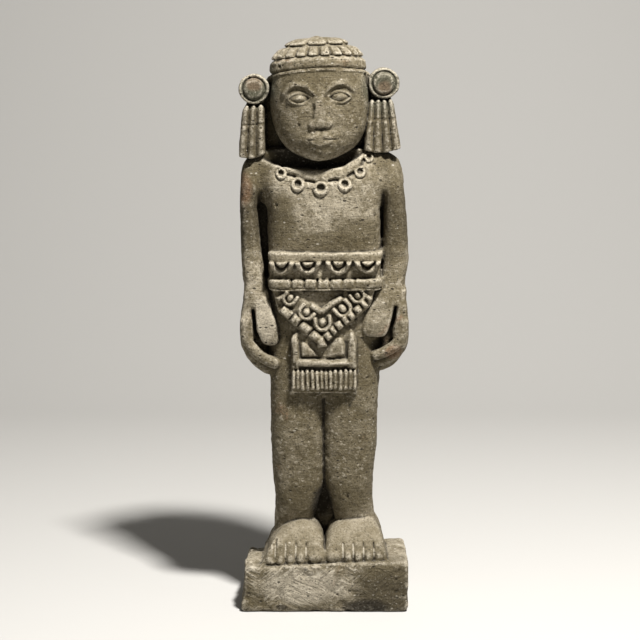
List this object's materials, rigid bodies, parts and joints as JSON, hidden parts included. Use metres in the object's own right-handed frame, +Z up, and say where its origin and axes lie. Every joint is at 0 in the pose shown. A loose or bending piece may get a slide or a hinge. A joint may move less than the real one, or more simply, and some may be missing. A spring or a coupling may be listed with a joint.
{
  "type": "carved stone statue",
  "caption": "Standing figure carved from one block of volcanic stone with its plinth: pleated cap, ear discs with tassels, ring necklace, wide belt and fringed apron, hands curled at the hips.",
  "frame": {"origin": "middle of the underside of the plinth, on the ground", "axes": "+Z up from the plinth to the cap, -Y is the front the figure faces, +X to the viewer's right"},
  "size_m": [0.3143, 0.176, 1.0697],
  "materials": {
    "stone": "rough, pitted and weathered"
  },
  "bodies": {
    "root": {"stone_figure": "stone"}
  },
  "joints": []
}
